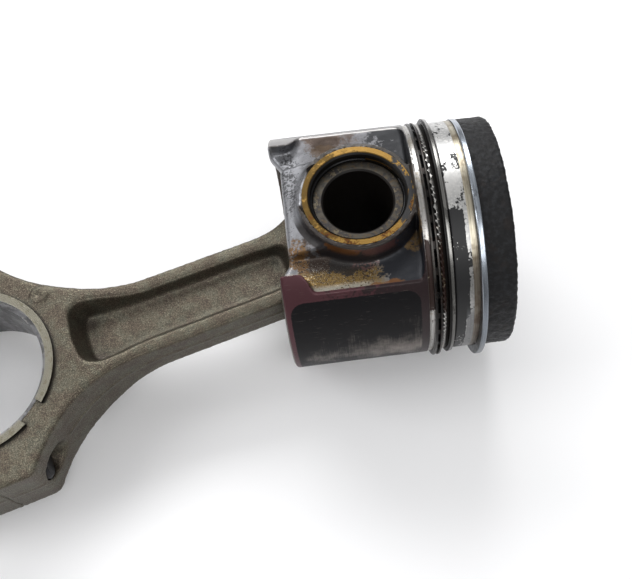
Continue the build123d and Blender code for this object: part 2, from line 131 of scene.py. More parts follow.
def add_object(name, mesh):
    obj = bpy.data.objects.new(name, mesh)
    bpy.context.scene.collection.objects.link(obj)
    return obj


def read_points(mesh, axes, field="co"):
    """A mesh's points, or its normals, in millimetres in a part's own axes."""
    flat = np.empty(len(mesh.vertices) * 3, np.float32)
    mesh.vertices.foreach_get(field, flat)
    turn, shift = numbers(axes.inverted())
    rows = flat.reshape(-1, 3).astype(float) @ turn.T
    return rows + shift if field == "co" else rows / 1000


def write_points(mesh, points, axes):
    turn, shift = numbers(axes)
    mesh.vertices.foreach_set("co", (points @ turn.T + shift).astype(np.float32).ravel())
    mesh.update()


def solid(node):
    """A CAD node's mesh as one closed surface to work on."""
    work = bmesh.new()
    work.from_mesh(nodes[node].data)
    bmesh.ops.remove_doubles(work, verts=work.verts, dist=2e-6)
    return work


def cut(work, axes, point, way):
    """Cuts off what lies beyond a plane and closes the cut."""
    normal = (axes.to_3x3() @ Vector(way)).normalized()
    made = bmesh.ops.bisect_plane(work, geom=work.verts[:] + work.edges[:] + work.faces[:], dist=1e-7,
                                  plane_co=axes @ Vector(point), plane_no=normal, clear_outer=True)
    rim = [item for item in made["geom_cut"] if isinstance(item, bmesh.types.BMEdge)]
    bmesh.ops.triangle_fill(work, use_beauty=True, edges=rim, normal=normal)


def as_mesh(name, *works):
    """One mesh from several worked solids."""
    whole = bpy.data.meshes.new(name)
    for work in works[1:]:
        part = bpy.data.meshes.new("part")
        work.to_mesh(part)
        works[0].from_mesh(part)
        bpy.data.meshes.remove(part)
    works[0].to_mesh(whole)
    for work in works:
        work.free()
    return whole


def voxelled(mesh, size):
    """The solid as an even mesh of quads about size mm across."""
    obj = add_object(mesh.name, mesh)
    remesh = obj.modifiers.new("even_mesh", "REMESH")
    remesh.mode = "VOXEL"
    remesh.voxel_size = size / 1000
    made = bpy.data.meshes.new_from_object(obj.evaluated_get(bpy.context.evaluated_depsgraph_get()))
    bpy.data.objects.remove(obj)
    return made


def relaxed(mesh, points, rounds):
    """Each point moved to the middle of its neighbours, as many times as rounds says for it."""
    edges = np.empty(len(mesh.edges) * 2, np.int64)
    mesh.edges.foreach_get("vertices", edges)
    one, two = edges.reshape(-1, 2).T
    count = np.bincount(edges, minlength=len(points))
    for number in range(int(rounds.max())):
        moving = (rounds > number)[:, None] * 0.5
        middle = np.stack([np.bincount(one, points[two, i], len(points))
                           + np.bincount(two, points[one, i], len(points)) for i in range(3)], 1)
        points = points + moving * (middle / count[:, None] - points)
    return points


def soft_noise(points, size, seed):
    """Smooth noise from -1 to 1 at each point, with features about size mm across."""
    shift = Vector((seed * 13.7, seed * 5.3, seed * 9.1))
    return np.array([noise.noise(Vector(p) / size + shift) for p in points])


def rise(value, low, high):
    """0 below low and 1 above high, with a smooth step between them."""
    part = np.clip((value - low) / (high - low), 0, 1)
    return part * part * (3 - 2 * part)


def finish_piece(obj, body, *stands_for, edge_angle=38):
    """Keeps a piece in the CAD model's box, shades it, and lets it stand for its CAD nodes."""
    points = read_points(obj.data, Matrix.Identity(4))
    low, high = np.array(cad_box[0]) + 1e-5, np.array(cad_box[1]) - 1e-5
    write_points(obj.data, np.clip(points, low, high), Matrix.Identity(4))
    obj.data.shade_smooth()
    obj.data.set_sharp_from_angle(angle=radians(edge_angle))
    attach(obj, body)
    for node in stands_for:
        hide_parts(node)
    return obj


# ---------------------------------------------------------------- rod and cap, as forged


def end_faces(node):
    """The crisp machined faces beside the crankpin, as they are in the CAD model, sunk into the forging."""
    works = []
    for side in (1, -1):
        work = solid(node)
        cut(work, ROD, (0, 0, side * (BIG_H + 0.02)), (0, 0, -side))
        here = ROD.inverted()
        for vert in work.verts[:]:
            p = here @ vert.co
            if Vector((p.x, p.y)).length > THRUST_R + 1:
                work.verts.remove(vert)
            elif abs(p.z) < BIG_H + 0.1:
                vert.co = ROD @ Vector((p.x, p.y, side * (BIG_H - 0.4)))
        works.append(work)
    return works


def forging(node, name):
    """The rod or its cap with the rounded edges, flash line and unevenness of a forging."""
    works = [solid(node)]
    if node == "connecting_rod":
        cut(works[0], ROD, (-111, 0, 0), (-1, 0, 0))
        works.append(solid(node))
        cut(works[1], ROD, (-109, 0, 0), (1, 0, 0))
    for side in (1, -1):
        cut(works[0], ROD, (0, 0, side * (BIG_H + 0.05)), (0, 0, side))
    mesh = voxelled(as_mesh(name, *works), FORGING_GRAIN)
    p = read_points(mesh, ROD)
    x, y, z = p.T
    crank = np.hypot(x, y)
    rounds = np.full(len(p), 9)
    in_pocket = (np.abs(y) < 17) & (np.abs(z) < 9.6) & (x < -57) & (x > 37 - ROD_LENGTH)
    machined = (np.abs(x) < 2.5) | ((crank < 45) & (np.abs(z) > 14)) | (crank < HOUSING_R + 0.8)
    rounds[in_pocket] = 45
    rounds[machined] = 2
    p = relaxed(mesh, p, rounds)
    write_points(mesh, p, ROD)

    # the flash line of the forging dies, the raised inspection pad, and gentle unevenness
    n = read_points(mesh, ROD, "normal")
    x, y, z = p.T
    crank, bolt = np.hypot(x, y), np.hypot(np.abs(y) - BOLT_T, z)
    skin = rise(crank, 45, 48) * rise(bolt, 9, 11) * rise(np.abs(x), 1.2, 3)
    flash = 0.4 * np.clip(1 - (z / 1.5) ** 2, 0, 1) * (np.abs(n[:, 2]) < 0.5)
    p += n * (skin * (flash + 0.12 * soft_noise(p, 9, 1) + 0.05 * soft_noise(p, 3, 2)))[:, None]
    from_pad = np.hypot(x - PAD_AT[0], y - PAD_AT[1])
    pad = 0.7 * (1 - rise(from_pad, 3.8, 5.4)) - 0.6 * (1 - rise(from_pad, 0.6, 2.2))
    p[:, 2] += pad * (z > BIG_H - 1.5)

    # machined places go back to their exact size
    x, y, z = p.T
    for centre, size in ((0.0, HOUSING_R), (-ROD_LENGTH, SMALL_BUSH_R)):
        out = np.hypot(x - centre, y)
        near = np.abs(out - size) < NEAR
        p[near, 0] = centre + (x[near] - centre) * size / out[near]
        p[near, 1] = y[near] * size / out[near]
    crank = np.hypot(p[:, 0], p[:, 1])
    flat = (np.abs(z) > BIG_H - 0.5) & (crank < 45)
    p[flat, 2] = np.sign(z[flat]) * BIG_H
    joint = (np.abs(x) < 0.4) & (crank > HOUSING_R - 0.1)
    p[joint, 0] = 0
    write_points(mesh, p, ROD)
    whole = bmesh.new()
    whole.from_mesh(mesh)
    return finish_piece(add_object(name, as_mesh(name, whole, *end_faces(node))), "rod", node)


# ---------------------------------------------------------------- piston, cast and turned


def skirt():
    """The casting below the oil ring: rounded cast edges round exactly turned and bored faces."""
    work = solid("piston_body")
    cut(work, PISTON, (OIL_GROOVE_X + 0.02, 0, 0), (1, 0, 0))
    mesh = voxelled(as_mesh("piston_skirt", work), CASTING_GRAIN)
    p = read_points(mesh, PISTON)
    x, y, z = p.T
    r, b, high = np.hypot(y, z), np.hypot(x, y), np.abs(z)
    rounds = np.full(len(p), 4)
    cast = (high > 37) & (high < 55.7) & (r < 63.3) & (b > 29.2)
    rounds[cast] = 30
    rounds[(r < 57) & (high < 37)] = 12
    rounds[(x > 30.6) & (r > 62)] = 0
    p = relaxed(mesh, p, rounds)
    write_points(mesh, p, PISTON)
    n = read_points(mesh, PISTON, "normal")
    x, y, z = p.T
    r, b, high = np.hypot(y, z), np.hypot(x, y), np.abs(z)
    skin = ((1 - rise(r, 62.2, 63.4)) * rise(b, 29, 30.5) * (1 - rise(high, 55, 56.2))
            * (1 - rise(x, 28, 30)))
    p += n * (skin * (0.14 * soft_noise(p, 7, 3) + 0.06 * soft_noise(p, 2.2, 4)))[:, None]

    x, y, z = p.T
    r, b, high = np.hypot(y, z), np.hypot(x, y), np.abs(z)
    turned = (r > SKIRT_R - 0.12) & (x < SKIRT_TOP_X)
    p[turned, 1:] *= (SKIRT_R / r[turned])[:, None]
    land = (np.abs(r - LAND_R) < 0.5) & (x > 29.7)
    p[land, 1:] *= (LAND_R / r[land])[:, None]
    p[x > OIL_GROOVE_X - NEAR, 0] = OIL_GROOVE_X
    bored = (np.abs(b - BUSH_R) < 0.4) & (high < BOSS_FACE_Z + 0.3)
    p[bored, :2] *= (BUSH_R / b[bored])[:, None]
    face = (np.abs(high - BOSS_FACE_Z) < 0.4) & (b < 31.5) & (r < 63.2)
    p[face, 2] = np.sign(z[face]) * BOSS_FACE_Z
    write_points(mesh, p, PISTON)
    return finish_piece(add_object("piston_skirt", mesh), "piston", "piston_body")


def ring_belt():
    """The turned ring belt and crown, as they are in the CAD model."""
    work = solid("piston_body")
    cut(work, PISTON, (OIL_GROOVE_X + 0.02, 0, 0), (-1, 0, 0))
    return finish_piece(add_object("piston_ring_belt", as_mesh("piston_ring_belt", work)), "piston",
                        "piston_body", edge_angle=28)


def lathed(name, rows, turns):
    """A closed ring of quads: rows(angle) gives the points of one section, as x, radius."""
    sections = [rows(2 * pi * number / turns) for number in range(turns)]
    size = len(sections[0])
    points = [(x, r * cos(a), r * sin(a)) for number, section in enumerate(sections)
              for a in (2 * pi * number / turns,) for x, r in section]
    faces = [(i * size + j, i * size + (j + 1) % size, (i + 1) % turns * size + (j + 1) % size,
              (i + 1) % turns * size + j) for i in range(turns) for j in range(size)]
    return add_mesh(name, points, faces, PISTON)


def carbon():
    """The flaking carbon crust baked on the top land and round the crown."""
    path = [(x, LAND_R - 0.2, 0, 1) for x in np.arange(58.75, CROWN_X - 1.4, 0.6)]
    path += [(CROWN_X - 1.4 + 1.4 * sin(t), LAND_R - 1.6 + 1.4 * cos(t), sin(t), cos(t))
             for t in np.radians((10, 30, 50, 70, 90))]
    path += [(CROWN_X, r, 1, 0) for r in np.arange(61.2, 36.9, -0.9)]
    back = [(CROWN_X - 0.3, 36.9), (CROWN_X - 0.3, 61.2), (CROWN_X - 1.8, LAND_R - 0.6),
            (58.75, LAND_R - 0.6)]

    def section(angle):
        rows = []
        for x, r, out_x, out_r in path:
            place = Vector((x, r * cos(angle), r * sin(angle)))
            near, next_near = noise.voronoi(place / 3.4 + noise.noise_vector(place / 5) * 0.35)[0][:2]
            lump = noise.fractal(place / 3.0, 0.7, 2.1, 4)
            flake = min(1.0, (next_near - near) * 3)
            thick = 0.22 + 0.26 * lump + 0.2 * flake + 0.14 * noise.noise(place / 11)
            if x < 59.2 or r < 37.5:
                thick *= 0.35
            thick = min(max(thick, 0.03), 0.75)
            rows.append((x + thick * out_x, r + thick * out_r))
        return rows + back

    return finish_piece(lathed("crown_carbon", section, 560), "piston", edge_angle=60)


def coil_spring():
    """The expander behind the oil ring: a fine coil of wire bent round into a ring."""
    centre = PISTON.inverted() @ Vector(joints["oil_ring_turn"]["pos_m"])
    steps, sides = COIL_TURNS * 10, 6
    round_ring = np.arange(steps) / steps * 2 * pi
    round_coil = round_ring * COIL_TURNS
    outward = np.stack([0 * round_ring, np.cos(round_ring), np.sin(round_ring)], 1)
    along = np.array((1.0, 0, 0))
    spoke = outward * np.cos(round_coil)[:, None] + along * np.sin(round_coil)[:, None]
    line = np.array(centre) + outward * COIL_CENTRE_R + spoke * (COIL_R - WIRE_R)
    way = np.roll(line, -1, 0) - np.roll(line, 1, 0)
    way /= np.linalg.norm(way, axis=1)[:, None]
    side_way = np.cross(way, spoke)
    points = [line[i] + WIRE_R * (spoke[i] * cos(t) + side_way[i] * sin(t))
              for i in range(steps) for t in (2 * pi * k / sides for k in range(sides))]
    faces = [(i * sides + j, i * sides + (j + 1) % sides, (i + 1) % steps * sides + (j + 1) % sides,
              (i + 1) % steps * sides + j) for i in range(steps) for j in range(sides)]
    return finish_piece(add_mesh("expander_coil", points, faces, PISTON), "oil_ring", "oil_ring_expander",
                        edge_angle=80)


rod = forging("connecting_rod", "rod_forging")
cap = forging("rod_cap", "cap_forging")
pieces = {
    "rod_forging": rod, "cap_forging": cap, "piston_skirt": skirt(), "piston_ring_belt": ring_belt(),
    "crown_carbon": carbon(), "expander_coil": coil_spring(),
}

# ---------------------------------------------------------------- shader fields

# where a Mix node keeps its two colours and its mixed colour: its other sockets have the same names
MIX_OLD, MIX_NEW, MIX_RESULT = 6, 7, 2


def rgb(code):
    """A linear colour from a hex code."""
    parts = [int(code[i:i + 2], 16) / 255 for i in (1, 3, 5)]
    return (*[p / 12.92 if p < 0.04045 else ((p + 0.055) / 1.055) ** 2.4 for p in parts], 1.0)


class Field:
    """A number that a material's nodes work out at each point of a surface."""

    def __init__(self, surface, socket):
        self.surface, self.socket = surface, socket

    def maths(self, operation, *others):
        node = self.surface.node("ShaderNodeMath", operation=operation)
        for socket, value in zip(node.inputs, (self, *others)):
            self.surface.feed(socket, value)
        return Field(self.surface, node.outputs[0])

    def __add__(self, other):
        return self.maths("ADD", other)

    def __sub__(self, other):
        return self.maths("SUBTRACT", other)

    def __mul__(self, other):
        return self.maths("MULTIPLY", other)

    def __truediv__(self, other):
        return self.maths("DIVIDE", other)

    __radd__, __rmul__ = __add__, __mul__

    def __rsub__(self, other):
        return self * -1 + other

    def __abs__(self):
        return self.maths("ABSOLUTE")

    def above(self, edge, soft):
        """0 below the edge and 1 above it, with a soft step."""
        node = self.surface.node("ShaderNodeMapRange", interpolation_type="SMOOTHSTEP")
        self.surface.feed(node.inputs["Value"], self)
        self.surface.feed(node.inputs["From Min"], edge - soft / 2)
        self.surface.feed(node.inputs["From Max"], edge + soft / 2)
        return Field(self.surface, node.outputs["Result"])

    def below(self, edge, soft):
        return 1 - self.above(edge, soft)

    def within(self, low, high, soft):
        """1 between low and high."""
        return self.above(low, soft) * self.below(high, soft)


class Surface:
    """A layered procedural finish, worked out in millimetres in a part's own axes."""

    def __init__(self, name, axes, colour, metal, rough):
        self.material = bpy.data.materials.new(name)
        self.material.use_nodes = True
        self.tree = self.material.node_tree
        self.shader = self.tree.nodes["Principled BSDF"]
        self.look = {"Base Color": rgb(colour), "Metallic": metal, "Roughness": rough,
                     "Specular IOR Level": 0.5}
        self.height = None
        place = self.node("ShaderNodeTexCoord")
        inverse = axes.inverted()
        self.here = self.turned(place.outputs["Object"], "POINT", inverse, inverse.to_translation())
        self.x, self.y, self.z = self.split(self.here)
        self.facing = self.split(self.turned(place.outputs["Normal"], "VECTOR", inverse, (0, 0, 0)))
        self.radius = (self.y * self.y + self.z * self.z).maths("SQRT")

    def node(self, kind, **settings):
        node = self.tree.nodes.new(kind)
        for key, value in settings.items():
            setattr(node, key, value)
        return node

    def feed(self, socket, value):
        if isinstance(value, Field):
            self.tree.links.new(value.socket, socket)
        elif isinstance(value, bpy.types.NodeSocket):
            self.tree.links.new(value, socket)
        else:
            socket.default_value = value

    def turned(self, vector, kind, inverse, shift):
        node = self.node("ShaderNodeMapping", vector_type=kind)
        self.feed(node.inputs["Vector"], vector)
        node.inputs["Rotation"].default_value = inverse.to_euler()
        if kind == "POINT":
            node.inputs["Location"].default_value = shift
            node.inputs["Scale"].default_value = inverse.to_scale()
        return node.outputs[0]

    def split(self, vector):
        node = self.node("ShaderNodeSeparateXYZ")
        self.feed(node.inputs[0], vector)
        return [Field(self, socket) for socket in node.outputs]

    def joined(self, x, y, z):
        node = self.node("ShaderNodeCombineXYZ")
        for socket, value in zip(node.inputs, (x, y, z)):
            self.feed(socket, value)
        return node.outputs[0]

    def moved(self, shift, stretch=(1, 1, 1)):
        node = self.node("ShaderNodeMapping")
        self.feed(node.inputs["Vector"], self.here)
        node.inputs["Location"].default_value = shift
        node.inputs["Scale"].default_value = stretch
        return node.outputs[0]

    def round_axis(self, stretch=(1, 1, 1)):
        """Coordinates unrolled round the part's X axis: along, round (in mm), out."""
        turn = self.y.maths("ARCTAN2", self.z)
        return self.joined(self.x * stretch[0], turn * SKIRT_R * stretch[1], self.radius * stretch[2])

    def noise(self, size, detail=3.0, rough=0.55, seed=0.0, stretch=(1, 1, 1), at=None):
        """Cloudy noise from 0 to 1 with features about size mm across."""
        node = self.node("ShaderNodeTexNoise")
        self.feed(node.inputs["Vector"], at or self.moved((seed * 37.1, seed * 11.7, seed * 23.3), stretch))
        node.inputs["Scale"].default_value = 1 / size
        node.inputs["Detail"].default_value = detail
        node.inputs["Roughness"].default_value = rough
        return Field(self, node.outputs[0])

    def cells(self, size, seed=0.0, feature="F1", at=None):
        """Distance to scattered points about size mm apart, from 0 up to about 1."""
        node = self.node("ShaderNodeTexVoronoi", feature=feature)
        self.feed(node.inputs["Vector"], at or self.moved((seed * 17.3, seed * 31.1, seed * 7.9)))
        node.inputs["Scale"].default_value = 1 / size
        return Field(self, node.outputs["Distance"])

    def hollow(self, distance):
        """0 in a crevice and 1 on open ground, looking distance mm round."""
        node = self.node("ShaderNodeAmbientOcclusion", samples=6, only_local=True)
        node.inputs["Distance"].default_value = distance / 1000
        return Field(self, node.outputs["AO"])

    def mixed(self, mask, old, new):
        colours = not isinstance(old, (int, float, Field)) or not isinstance(new, (int, float, Field))
        if not colours:
            difference = new - old
            return mask * difference + old
        node = self.node("ShaderNodeMix", data_type="RGBA")
        self.feed(node.inputs["Factor"], mask)
        self.feed(node.inputs[MIX_OLD], old)
        self.feed(node.inputs[MIX_NEW], new)
        return node.outputs[MIX_RESULT]

    def paint(self, mask, colour=None, metal=None, rough=None, gloss=None):
        """Lays another finish over the present one where the mask is 1."""
        if isinstance(colour, str):
            colour = rgb(colour)
        for key, new in (("Base Color", colour), ("Metallic", metal), ("Roughness", rough),
                         ("Specular IOR Level", gloss)):
            if new is not None:
                self.look[key] = self.mixed(mask, self.look[key], new)

    def shade(self, amount, low, high):
        """Multiplies the colour by a number from low to high as amount goes from 0 to 1."""
        node = self.node("ShaderNodeMix", data_type="RGBA", blend_type="MULTIPLY")
        node.inputs["Factor"].default_value = 1
        grey = amount * (high - low) + low
        self.feed(node.inputs[MIX_OLD], self.look["Base Color"])
        self.feed(node.inputs[MIX_NEW], self.joined(grey, grey, grey))
        self.look["Base Color"] = node.outputs[MIX_RESULT]

    def raise_by(self, height):
        """Adds relief, in millimetres."""
        self.height = height if self.height is None else self.height + height

    def done(self):
        for key, value in self.look.items():
            self.feed(self.shader.inputs[key], value)
        if self.height is not None:
            bump = self.node("ShaderNodeBump")
            self.feed(bump.inputs["Height"], self.height)
            bump.inputs["Distance"].default_value = 0.001
            self.feed(self.shader.inputs["Normal"], bump.outputs[0])
        return self.material


# ---------------------------------------------------------------- finishes


def piston_finish():
    """Cast aluminium with oil varnish, a graphite-printed skirt and turned ring lands."""
    s = Surface("piston_aluminium", PISTON, "#67676a", 0.85, 0.4)
    x, y, r, high = s.x, s.y, s.radius, abs(s.z)
    around = y.maths("ARCTAN2", high) * degrees(1)      # from the pin's direction, towards +Y
    broad = s.noise(14, 4, 0.6)
    mid = s.noise(4.5, 4, 0.62, seed=8)
    fine = s.noise(1.3, 3, 0.6, seed=2)
    grain = s.noise(0.42, 2, 0.6, seed=3)
    ragged = (broad - 0.5) * 2.4 + (mid - 0.5) * 3.2 + (fine - 0.5) * 1.6

    def stain(at_x, at_y, wide, tall, edge=0.5):
        """An oval stain with a ragged rim on the side panels."""
        far_x, far_y = (x - at_x) / wide, (y - at_y) / tall
        return (far_x * far_x + far_y * far_y + ragged).below(1.0, edge)

    # inside: dull casting, tanned by hot oil
    inside = high.below(INNER_Z, 0.6)
    s.shade(broad, 0.75, 1.15)
    s.shade(grain, 0.8, 1.2)
    s.paint(inside, "#5c5650", 0.6, 0.5)
    s.paint(inside * (broad + (fine - 0.5) * 0.4).above(0.48, 0.2) * 0.85, "#33261c", 0.35, 0.42)

    # side panels: bright at the open end, brown and slate with baked oil below the boss
    s.paint(x.below(-27, 7) * y.within(-32, 40, 16) * 0.6, "#88898d", 0.95, 0.32)
    s.paint(stain(-34, 20, 5, 20, 0.8) * fine.above(0.5, 0.06) * 0.8, "#2b2b2c", 0.5, 0.48)
    s.paint(fine.above(0.64, 0.05) * 0.7, "#2f2f30", 0.5, 0.48)
    s.paint(stain(-12, 44, 14, 8, 1.4) * 0.85, "#44352a", 0.75, 0.36)
    s.paint(stain(-13, 42, 8, 5, 0.9) * 0.7, "#2c2018", 0.6, 0.36)
    s.paint(stain(-14, 36, 8, 3.5) * 0.7, "#3f2f1d", 0.6, 0.34)
    s.paint(stain(30, 38, 19, 30, 0.3), "#26272a", 0.5, 0.44)
    lower = y.below(-16, 5)
    s.paint(lower * stain(-12, -32, 24, 17, 0.7), "#2a1c13", 0.3, 0.38)
    s.paint(stain(-34, -27, 6, 8) * fine.above(0.45, 0.1), "#5e4426", 0.45, 0.36)
    s.paint(lower * y.below(-35, 4) * x.below(8, 8) * (grain + (fine - 0.5) * 0.6).above(0.45, 0.14),
            "#7d6538", 0.8, 0.32)
    # painted highlights: bright patches along the panel's lower edge and bright glints over its lower part
    s.paint(y.below(-43, 3) * x.below(2, 10) * fine.above(0.42, 0.14), "#a39e92", 0.95, 0.28)
    s.paint(y.below(-30, 10) * grain.above(0.64, 0.05), "#cbc6ba", 1.0, 0.24)
    s.paint(stain(-6, -32, 13, 5) * 0.9, "#130f0e", 0.2, 0.4)
    s.paint(stain(2, -33, 8, 4) * fine.above(0.52, 0.08) * 0.7, "#5d4240", 0.5, 0.4)
    s.paint(stain(21, -35, 17, 17, 0.35), "#1d1f25", 0.4, 0.42)
    s.paint(stain(25, -17, 5, 13) * fine.above(0.4, 0.2), "#6b5637", 0.6, 0.36)
    s.paint(stain(9, -45.5, 9, 2.4) * 0.8, "#6b4420", 0.5, 0.38)

    # the boss's wall: painted shade on its lower side, with baked oil running off the bush
    out = (x * x + y * y).maths("SQRT")
    wall = out.within(27.5, 34.5, 0.6) * high.within(45, 56.2, 1.0)
    # painted shade: the lower side of the boss wall darkened
    s.paint(wall * y.below(-8, 8), "#1b1718", 0.3, 0.4)
    s.paint(wall * stain(-12, -29, 10, 6) * high.above(51, 4) * 0.8, "#5d3814", 0.5, 0.34)
    s.paint(wall * stain(9, -28, 12, 7) * high.above(50, 4) * 0.9, "#4b2f2c", 0.45, 0.38)
    s.paint(wall * stain(22, -20, 8, 8), "#23262e", 0.5, 0.36)
    rim = high.above(55.6, 0.6) * out.below(32, 0.5)
    s.paint(rim * mid.above(0.4, 0.2), "#3b3733", 0.5, 0.4)
    s.paint(rim * (y + x * 0.5).below(6, 10) * 0.9, "#231c18", 0.35, 0.4)
    # painted shade: darkened in the crevices of the side panels and round the boss
    s.paint(s.hollow(5).below(0.5, 0.5) * high.within(37, 56, 1) * 0.6, "#15110e", 0.25, 0.45)
    s.raise_by((grain - 0.5) * 0.07 * r.below(62, 0.5))

    # skirt: mauve coat, black graphite print worn through by the bore, and a painted sheen on the far edge
    skirt = r.above(63.0, 0.25) * x.below(SKIRT_TOP_X, 0.2) * high.below(53.0, 0.3)
    s.paint(skirt, "#4a2c31", 0.4, 0.38, 0.3)
    s.paint(skirt * (mid + (fine - 0.5) * 0.5 + x * 0.010).above(0.44, 0.2) * 0.85, "#171112", 0.2, 0.42)
    # painted sheen: the far side of the skirt, next to the panels, made bright grey
    s.paint(skirt * y.above(0, 1) * high.above(38.5, 1.5) * 0.85, "#8f8e8d", 0.9, 0.32)
    thrust = abs(around)
    past_x = (abs(x + 7.8) - 25.5).maths("MAXIMUM", 0.0)
    past_turn = ((90 - thrust) * 1.115 - 37.0).maths("MAXIMUM", 0.0)
    print_edge = (past_x * past_x + past_turn * past_turn).maths("SQRT") + (fine - 0.5) * 0.7
    printed = skirt * print_edge.below(7.4, 0.7)
    s.paint(printed, "#121113", 0.1, 0.45, 0.12)
    tool_marks = s.noise(0.5, 3, 0.6, seed=11, at=s.round_axis((1.0, 0.05, 0.2)))
    rubbed = (thrust * 0.018 + (broad - 0.5) * 0.9 + (tool_marks - 0.5) * 0.3 + x * 0.004).above(1.6, 0.55)
    s.paint(printed * rubbed * 0.8, "#8a817a", 0.7, 0.36, 0.5)
    scratch = s.noise(0.3, 2, 0.5, seed=12, at=s.round_axis((0.04, 1.0, 0.2))).above(0.7, 0.04)
    s.paint(skirt * scratch * broad.above(0.5, 0.2) * 0.22, "#8f8780", 0.8, 0.35)
    s.paint(r.above(62.4, 0.4) * x.below(-43.2, 0.5), "#8a8784", 0.9, 0.34)
    s.raise_by(skirt * tool_marks * 0.03)

    # ring lands: bright turned bands, the lower lands browned by oil with a painted reflection on their lower
    # side, a painted highlight on the second land's upper side, and baked black patches
    lands = r.above(62.4, 0.25) * x.above(SKIRT_TOP_X, 0.2)
    lines = s.noise(0.3, 2, 0.6, seed=14, at=s.round_axis((1.0, 0.015, 0.3)))
    s.paint(lands, "#b5b3b0", 1.0, 0.3)
    s.paint(lands * lines.above(0.52, 0.2) * 0.4, "#6b6967", 0.95, 0.36)
    low_lands = lands * x.below(42.2, 0.3)
    brown = s.noise(5, 5, 0.7, seed=19, at=s.round_axis((0.9, 0.4, 1.0))) + (fine - 0.5) * 0.5
    # brown patches from oil, made heavier on the lower side as a painted reflection
    s.paint(low_lands * (brown + around.within(-64, -27, 14) * 0.28).above(0.64, 0.06),
            "#2a1812", 0.35, 0.42)
    s.paint(low_lands * brown.below(0.4, 0.1) * 0.5, "#7d6f52", 0.8, 0.34)
    s.paint(lands * x.within(38.0, 39.8, 0.2), "#191614", 0.3, 0.45)
    upper = lands * x.within(*SECOND_LAND, 0.2)
    etched = s.cells(1.5, seed=4, feature="SMOOTH_F1").above(0.3, 0.3) * broad.above(0.4, 0.2)
    # painted highlight: the upper side of the second land made whiter
    s.paint(upper * around.above(-20, 16) * 0.7, "#dddcda", 1.0, 0.34)
    s.paint(upper * etched * 0.4, "#74777a", 0.9, 0.4)
    wander = s.noise(9, 5, 0.7, seed=16, at=s.round_axis((1.0, 0.6, 1.0))) + (fine - 0.5) * 0.35
    soot = (around.within(-70, -17, 6) * x.below(50.2, 1.0) * 0.5
            + around.below(-60, 8) * x.below(48.4, 1.0) * 0.4)
    flakes = s.cells(1.1, seed=6, at=s.round_axis((1.0, 0.8, 1.0))) * 0.3
    s.paint(upper * ((wander - 0.5) * 1.9 + flakes + soot).above(0.32, 0.05), "#101012", 0.15, 0.48)
    s.paint(upper * around.below(-66, 8) * x.above(48.5, 1) * 0.7, "#5b5c5e", 0.9, 0.36)

    # groove floors painted near black, baked carbon that also stands in for the shade in the grooves; the top land
    # and the crown carry baked carbon
    # painted shade with carbon: the ring grooves made near black
    s.paint(x.within(31.85, 42.35, 0.1) * r.within(56.5, 62.5, 0.4), "#0c0a09", 0.2, 0.5)
    s.paint(x.above(TOP_LAND_X, 0.3) * r.above(56.5, 0.3), "#0e0e10", 0.0, 0.6)
    s.paint(x.above(59.5, 0.6), "#121213", 0.0, 0.68)
    s.raise_by(x.above(TOP_LAND_X, 0.4) * s.noise(2.6, 5, 0.65, seed=21) * 0.5)
    return s.done()


def carrier_finish():
    """Turned nickel iron, stained tan, with a painted reflection darkening its lower side."""
    s = Surface("carrier_iron", PISTON, "#bcb5a3", 0.95, 0.3)
    lines = s.noise(0.4, 2, 0.6, at=s.round_axis((1.0, 0.02, 0.3)))
    s.paint(lines.above(0.5, 0.2) * 0.5, "#4f4a3f", 0.9, 0.36)
    patch = s.noise(10, 4, 0.6, seed=3, at=s.round_axis((0.5, 0.5, 1)))
    s.paint(patch.above(0.54, 0.14) * 0.7, "#5a4a34", 0.8, 0.36)
    around = s.y.maths("ARCTAN2", abs(s.z)) * degrees(1)
    # painted reflection: the lower side of the carrier darkened maroon
    s.paint(around.below(-38, 20) * 0.7, "#33231f", 0.6, 0.36)
    s.paint(patch.above(0.66, 0.04), "#14110f", 0.2, 0.5)
    s.paint(s.x.above(58.4, 0.3), "#0e0e10", 0.0, 0.65)
    # painted shade with carbon: inside the top ring's groove made near black
    s.paint(s.radius.below(62.8, 0.4), "#0e0c0b", 0.2, 0.5)
    return s.done()


def ring_finish(name, base, streaks, side, seed):
    """Ground ring metal: a bright worn face, streaked round the bore, sooty sides, and a painted reflection
    darkening the lower side.
    """
    s = Surface(name, PISTON, base, 1.0, 0.22)
    streak = s.noise(0.5, 3, 0.6, seed=seed, at=s.round_axis((1.2, 0.02, 0.5)))
    s.paint(streak.above(0.52, 0.2) * 0.55, streaks, 1.0, 0.3)
    patch = s.noise(12, 5, 0.65, seed=seed + 1, at=s.round_axis((1, 0.5, 1)))
    s.paint(patch.above(0.6, 0.06) * 0.7, side, 0.6, 0.4)
    flats = abs(s.facing[0]).above(0.7, 0.3)
    s.paint(flats * s.noise(2.5, 4, 0.65, seed=seed + 2).above(0.44, 0.2) * 0.85, side, 0.5, 0.42)
    around = s.y.maths("ARCTAN2", abs(s.z)) * degrees(1)
    # painted reflection: the lower side of the ring darkened
    s.paint(around.below(-48, 30) * 0.5, side, 0.85, 0.3)
    s.raise_by(streak * 0.02)
    return s


def top_ring_finish():
    return ring_finish("top_ring_steel", "#a9b0b9", "#6f757d", "#1d1e22", 1).done()


def second_ring_finish():
    s = ring_finish("second_ring_iron", "#8d8c89", "#4b4a48", "#171412", 5)
    # painted shade: the undercut below the ring's face darkened
    s.paint(s.x.below(40.75, 0.15), "#141210", 0.5, 0.38)
    return s.done()


def oil_ring_finish():
    """Black, oil-soaked iron with thin worn rails."""
    s = Surface("oil_ring_iron", PISTON, "#161413", 0.7, 0.32)
    rail = s.radius.above(64.9, 0.5) * s.noise(6, 4, 0.6, at=s.round_axis((0.5, 0.2, 1))).above(0.5, 0.1)
    s.paint(rail * 0.7, "#4b4946", 0.9, 0.34)
    s.paint(s.noise(3, 4, 0.65, seed=2).above(0.56, 0.1) * 0.7, "#2a1c14", 0.4, 0.38)
    s.raise_by(s.noise(1.2, 3, 0.6, seed=5) * 0.02)
    return s.done()


